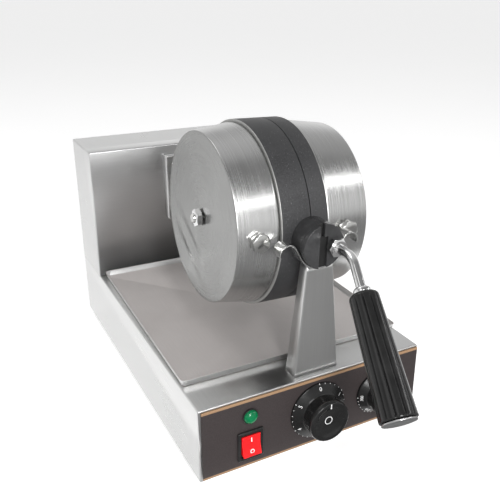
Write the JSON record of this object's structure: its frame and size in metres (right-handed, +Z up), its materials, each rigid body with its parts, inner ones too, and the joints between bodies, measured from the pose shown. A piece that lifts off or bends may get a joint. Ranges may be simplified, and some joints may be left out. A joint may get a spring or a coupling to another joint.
{
  "type": "waffle cone maker",
  "caption": "Counter-top baker for rolled waffle cones: a round two-plate iron that turns in a cradle and opens on a rear hinge, over a steel base with a timer, a thermostat and a drip tray.",
  "frame": {"origin": "on the counter, under the middle of the whole object at rest", "axes": "+X to the right seen from the control panel, +Y from the panel to the rear, +Z up"},
  "size_m": [0.2638, 0.5786, 0.3285],
  "materials": {
    "stainless": "brushed",
    "tray_steel": "matt, from cleaning",
    "polished_cover": "finely brushed",
    "coated_cast": "dark non-stick coating",
    "black_hub": "satin black",
    "chrome": "bright",
    "zinc_steel": "zinc plated",
    "element_sheath": "heat tinted",
    "mineral_wool": "fibrous",
    "bronze": "turned",
    "black_phenolic": "gloss",
    "switch_plastic": "satin",
    "red_rocker": "gloss",
    "green_lens": "clear green",
    "white_plastic": "matt",
    "panel_overlay": "satin dark brown",
    "rubber": "matt"
  },
  "bodies": {
    "base": {"base_shell": "stainless", "bearing_housing": "zinc_steel", "bottom_plate": "stainless", "cable_gland": "switch_plastic", "control_panel": "panel_overlay", "cradle_strip": "chrome", "foot_front_left": "rubber", "foot_front_right": "rubber", "foot_rear_left": "rubber", "foot_rear_right": "rubber", "pilot_lamp_body": "white_plastic", "pilot_lamp_lens": "green_lens", "pivot_bush": "bronze", "rear_bracket": "stainless", "switch_housing": "switch_plastic", "terminal_block": "white_plastic", "thermostat_body": "zinc_steel", "timer_body": "zinc_steel", "tower_back_plate": "stainless", "tower_shell": "stainless", "upright": "stainless", "upright_screw_left": "zinc_steel", "upright_screw_right": "zinc_steel"},
    "lower_half": {"lower_cover": "polished_cover", "lower_cover_nut": "chrome", "lower_cover_stud": "zinc_steel", "lower_heating_element": "element_sheath", "lower_hub": "black_hub", "lower_insulation": "mineral_wool", "lower_plate": "coated_cast", "lower_stop_bolt": "zinc_steel", "lower_stop_nut": "zinc_steel", "rear_yoke": "zinc_steel", "hinge_pin": "chrome", "pivot_shaft": "zinc_steel", "shaft_collar": "zinc_steel"},
    "upper_half": {"upper_cover": "polished_cover", "upper_cover_nut": "chrome", "upper_cover_stud": "zinc_steel", "upper_heating_element": "element_sheath", "upper_hub": "black_hub", "upper_insulation": "mineral_wool", "upper_plate": "coated_cast", "upper_stop_bolt": "zinc_steel", "upper_stop_nut": "zinc_steel", "handle_rod": "chrome", "handle_nut": "chrome", "handle_ferrule": "chrome", "handle_grip": "black_phenolic", "handle_end_cap": "chrome"},
    "timer_knob_body": {"timer_knob": "black_phenolic", "timer_shaft": "zinc_steel"},
    "thermostat_knob_body": {"thermostat_knob": "black_phenolic", "thermostat_shaft": "zinc_steel"},
    "rocker_body": {"switch_rocker": "red_rocker"},
    "tray_body": {"drip_tray": "tray_steel"}
  },
  "joints": [
    {"name": "iron_rotation", "type": "hinge", "parent": "base", "child": "lower_half", "pos_m": [0.003, -0.016, 0.2295], "axis": [0, -1, 0], "range_deg": [-88, 92]},
    {"name": "lid_opening", "type": "hinge", "parent": "lower_half", "child": "upper_half", "pos_m": [0.003, 0.0915, 0.2295], "axis": [0.0349, 0, 0.9994], "range_deg": [0, 90]},
    {"name": "timer_knob_turn", "type": "hinge", "parent": "base", "child": "timer_knob_body", "pos_m": [0.001, -0.1398, 0.05], "axis": [0, 1, 0], "range_deg": [0, 300]},
    {"name": "thermostat_knob_turn", "type": "hinge", "parent": "base", "child": "thermostat_knob_body", "pos_m": [0.075, -0.1398, 0.0485], "axis": [0, 1, 0], "range_deg": [0, 270]},
    {"name": "switch_rocker_tilt", "type": "hinge", "parent": "base", "child": "rocker_body", "pos_m": [-0.0765, -0.1368, 0.0355], "axis": [1, 0, 0], "range_deg": [0, 16]},
    {"name": "drip_tray_slide", "type": "slide", "parent": "base", "child": "tray_body", "axis": [0.9998, -0.0175, 0], "range_m": [0, 0.25]}
  ]
}
